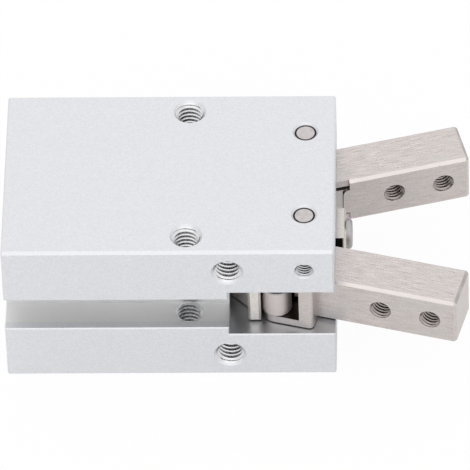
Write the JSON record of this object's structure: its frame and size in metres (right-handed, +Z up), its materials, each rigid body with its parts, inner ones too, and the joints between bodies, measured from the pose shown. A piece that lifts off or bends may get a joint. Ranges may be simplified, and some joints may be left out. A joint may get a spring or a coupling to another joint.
{
  "type": "pneumatic angular gripper",
  "caption": "Rectangular aluminium air cylinder body whose piston swings a pair of steel fingers on pivots, with a side switch groove, air ports and threaded mounting holes.",
  "frame": {"origin": "centre of the rear mounting face, on the axis of the bore", "axes": "+X forward along the bore to the fingers, +Y across the fingers to the far side, +Z up"},
  "size_m": [0.0636, 0.0348, 0.024],
  "materials": {
    "body_aluminium": "bead-blasted and clear anodised",
    "cap_aluminium": "turned and clear anodised",
    "piston_aluminium": "turned",
    "finger_stainless": "milled and brushed lengthwise",
    "pusher_steel": "sintered",
    "pin_steel": "ground",
    "roller_steel": "hardened and polished",
    "rod_steel": "hard chromed",
    "black_steel": "black oxide",
    "spring_steel": "phosphated",
    "nut_steel": "zinc plated",
    "bush_bronze": "sintered",
    "seal_rubber": "moulded",
    "bumper_rubber": "moulded",
    "magnet_rubber": "filled with magnet powder",
    "wear_plastic": "cut from tape"
  },
  "bodies": {
    "housing": {"body": "body_aluminium", "end_cap": "cap_aluminium", "cap_oring": "seal_rubber", "retaining_ring": "spring_steel", "rear_bumper": "bumper_rubber", "front_bumper": "bumper_rubber", "rod_bush": "bush_bronze", "rod_seal": "seal_rubber", "seal_retainer": "nut_steel", "near_upper_pin": "pin_steel", "near_lower_pin": "pin_steel", "far_upper_pin": "pin_steel", "far_lower_pin": "pin_steel", "near_set_screw": "black_steel", "far_set_screw": "black_steel"},
    "piston_group": {"piston": "piston_aluminium", "piston_seal": "seal_rubber", "magnet_ring": "magnet_rubber", "wear_ring": "wear_plastic", "piston_rod": "rod_steel", "rod_oring": "seal_rubber", "piston_nut": "nut_steel", "centre_pusher": "pusher_steel", "pusher_screw": "nut_steel"},
    "near_finger_group": {"near_finger": "finger_stainless", "near_pivot_bushes": "bush_bronze", "near_roller_pin": "pin_steel"},
    "near_roller_group": {"near_roller": "roller_steel"},
    "far_finger_group": {"far_finger": "finger_stainless", "far_pivot_bushes": "bush_bronze", "far_roller_pin": "pin_steel"},
    "far_roller_group": {"far_roller": "roller_steel"}
  },
  "joints": [
    {"name": "piston_slide", "type": "slide", "parent": "housing", "child": "piston_group", "axis": [1, 0, 0], "range_m": [-0.00093, 0.00155]},
    {"name": "near_finger_pivot", "type": "hinge", "parent": "housing", "child": "near_finger_group", "pos_m": [0.0412, -0.008, 0], "axis": [0, 0, 1], "range_deg": [-15, 25]},
    {"name": "near_roller_spin", "type": "hinge", "parent": "near_finger_group", "child": "near_roller_group", "pos_m": [0.03731, -0.01131, 0], "axis": [0, 0, 1], "continuous": true},
    {"name": "far_finger_pivot", "type": "hinge", "parent": "housing", "child": "far_finger_group", "pos_m": [0.0412, 0.008, 0], "axis": [0, 0, -1], "range_deg": [-15, 25]},
    {"name": "far_roller_spin", "type": "hinge", "parent": "far_finger_group", "child": "far_roller_group", "pos_m": [0.03731, 0.01131, 0], "axis": [0, 0, 1], "continuous": true}
  ],
  "couplings": [
    {"joint": "near_finger_pivot", "follows": "piston_slide", "rad_per_m": 280.9},
    {"joint": "far_finger_pivot", "follows": "piston_slide", "rad_per_m": 280.9}
  ]
}
